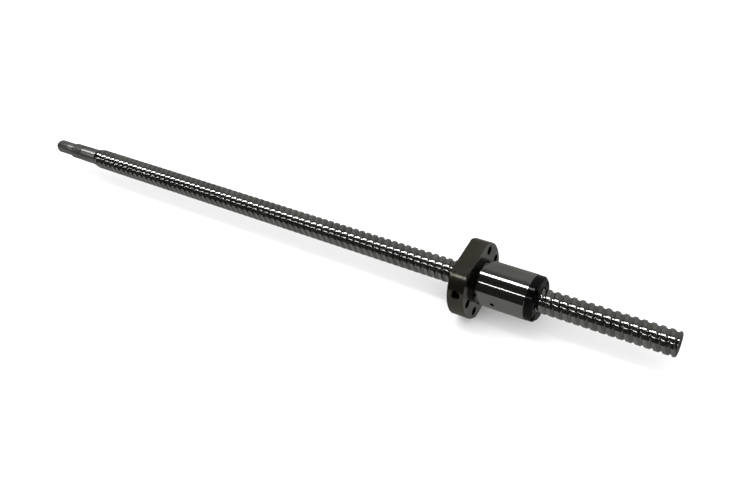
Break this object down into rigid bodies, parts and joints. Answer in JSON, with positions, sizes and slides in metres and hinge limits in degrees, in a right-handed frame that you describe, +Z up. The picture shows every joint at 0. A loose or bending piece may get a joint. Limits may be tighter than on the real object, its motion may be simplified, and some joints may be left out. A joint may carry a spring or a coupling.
{
  "type": "ball screw assembly",
  "caption": "Long rolled ball screw with turned journals at its driven end and a flanged ball nut that travels along it.",
  "frame": {"origin": "on the screw axis, at the shoulder between the bearing journal and the ball thread", "axes": "+X along the screw axis from the driven end to the free end; +Z up, normal to the two flats of the flange; +Y completes the frame"},
  "size_m": [0.502, 0.048, 0.04],
  "materials": {
    "screw_steel": "rolled and polished",
    "nut_steel": "ground body, dark turned flange",
    "black_plastic": "gloss",
    "deflector_plastic": "moulded",
    "wiper_plastic": "moulded",
    "spring_steel": "drawn wire",
    "ball_steel": "polished"
  },
  "bodies": {
    "screw": {"screw_shaft": "screw_steel"},
    "travel_ring": {"flange_wiper_spring": "spring_steel"},
    "nut": {"nut_body": "nut_steel", "nose_cap": "black_plastic", "flange_cap": "black_plastic", "nose_deflectors": "deflector_plastic", "flange_deflectors": "deflector_plastic", "nose_wiper": "wiper_plastic", "flange_wiper": "wiper_plastic", "nose_wiper_spring": "spring_steel", "loaded_balls_start_1": "ball_steel", "loaded_balls_start_2": "ball_steel", "return_balls_start_1": "ball_steel", "return_balls_start_2": "ball_steel"}
  },
  "joints": [
    {"name": "nut_travel", "type": "slide", "parent": "screw", "child": "travel_ring", "axis": [1, 0, 0], "range_m": [-0.32, 0.07]},
    {"name": "nut_turn", "type": "hinge", "parent": "travel_ring", "child": "nut", "pos_m": [0.349, 0, 0], "axis": [1, 0, 0], "range_deg": [-11520, 2520]}
  ],
  "couplings": [
    {"joint": "nut_travel", "follows": "nut_turn", "m_per_rad": 0.0015915}
  ]
}
